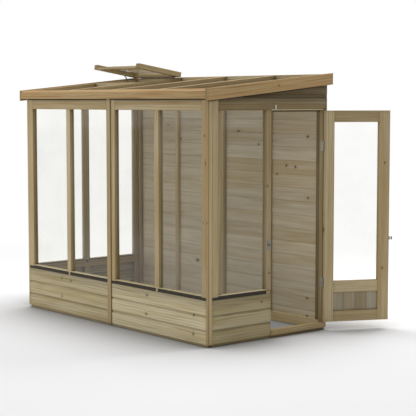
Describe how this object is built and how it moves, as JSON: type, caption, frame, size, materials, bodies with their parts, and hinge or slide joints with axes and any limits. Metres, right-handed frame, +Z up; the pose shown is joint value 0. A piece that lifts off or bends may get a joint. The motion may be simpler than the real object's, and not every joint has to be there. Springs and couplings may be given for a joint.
{
  "type": "lean-to greenhouse",
  "caption": "Timber lean-to greenhouse with glazed front and ends on low boarded walls, a boarded back wall, a sloping glazed roof with an opening vent, and a half-glazed side door.",
  "frame": {"origin": "on the ground under the middle of the back wall's bottom rail, on the rail's centre line", "axes": "+X along the long front wall towards the end with the door, +Y from the front wall to the house wall, +Z up"},
  "size_m": [2.7214, 1.6937, 2.0798],
  "materials": {
    "timber": "pressure-treated softwood, planed and left bare",
    "boarding": "pressure-treated softwood cladding",
    "fascia": "pressure-treated softwood, browner at the edges",
    "trim": "pale planed softwood",
    "glazing": "clear sheet glazing",
    "zinc": "bright zinc-plated steel",
    "dark_zinc": "dull grey zinc-plated steel"
  },
  "bodies": {
    "greenhouse": {"back_left_boards": "boarding", "back_left_frame": "timber", "back_right_boards": "boarding", "back_right_frame": "timber", "door_threshold": "timber", "front_joint_cover": "trim", "front_left_boards": "boarding", "front_left_frame": "timber", "front_left_pane_inner": "glazing", "front_left_pane_outer": "glazing", "front_right_boards": "boarding", "front_right_frame": "timber", "front_right_pane_inner": "glazing", "front_right_pane_outer": "glazing", "hasp_staple": "dark_zinc", "left_corner_post": "trim", "left_end_boards": "boarding", "left_end_frame": "timber", "left_end_pane_front": "glazing", "left_end_pane_rear": "glazing", "left_gable_board": "timber", "lower_hinge_jamb_leaf": "zinc", "right_corner_post": "trim", "right_end_boards": "boarding", "right_end_frame": "timber", "right_end_pane": "glazing", "right_gable_board": "timber", "roof_back_board": "trim", "roof_bar_left": "timber", "roof_bar_middle": "timber", "roof_bar_right": "timber", "roof_edge_bar_left": "timber", "roof_edge_bar_right": "timber", "roof_front_fascia": "fascia", "roof_left_fascia": "fascia", "roof_pane_left": "glazing", "roof_pane_mid_left": "glazing", "roof_pane_mid_right": "glazing", "roof_pane_right": "glazing", "roof_right_fascia": "fascia", "upper_hinge_jamb_leaf": "zinc", "vent_hinge_fixed_leaf": "zinc", "vent_stay_bracket": "zinc", "vent_surround": "timber"},
    "door": {"door_hinge_stile": "timber", "door_free_stile": "timber", "door_top_rail": "timber", "door_middle_rail": "timber", "door_bottom_rail": "timber", "door_pane": "glazing", "door_panel": "boarding", "lower_hinge_door_leaf": "zinc", "upper_hinge_door_leaf": "zinc", "hasp_plate": "zinc"},
    "hasp_strap": {"hasp_strap": "dark_zinc"},
    "vent": {"vent_frame": "timber", "vent_pane": "glazing", "vent_hinge_moving_leaf": "zinc"},
    "vent_stay": {"vent_stay": "zinc"},
    "turn_button": {"turn_button": "zinc"}
  },
  "joints": [
    {"name": "door_hinge", "type": "hinge", "parent": "greenhouse", "child": "door", "pos_m": [1.208, -0.016, 0.5], "axis": [0, 0, 1], "range_deg": [-154, 16]},
    {"name": "hasp_hinge", "type": "hinge", "parent": "door", "child": "hasp_strap", "pos_m": [1.43397, 0.44344, 0.702], "axis": [0, 0, 1], "range_deg": [0, 120]},
    {"name": "vent_hinge", "type": "hinge", "parent": "greenhouse", "child": "vent", "pos_m": [-0.8898, 0.005, 1.9665], "axis": [-1, 0, 0], "range_deg": [-14.6, 10]},
    {"name": "vent_stay_pivot", "type": "hinge", "parent": "greenhouse", "child": "vent_stay", "pos_m": [-1.1634, -0.11, 1.932], "axis": [-1, 0, 0], "range_deg": [-32.2, 22.1]},
    {"name": "turn_button_pivot", "type": "hinge", "parent": "greenhouse", "child": "turn_button", "pos_m": [1.203, -0.508, 1.7035], "axis": [1, 0, 0], "range_deg": [0, 180]}
  ],
  "couplings": [
    {"joint": "vent_stay_pivot", "follows": "vent_hinge", "ratio": 2.2}
  ]
}
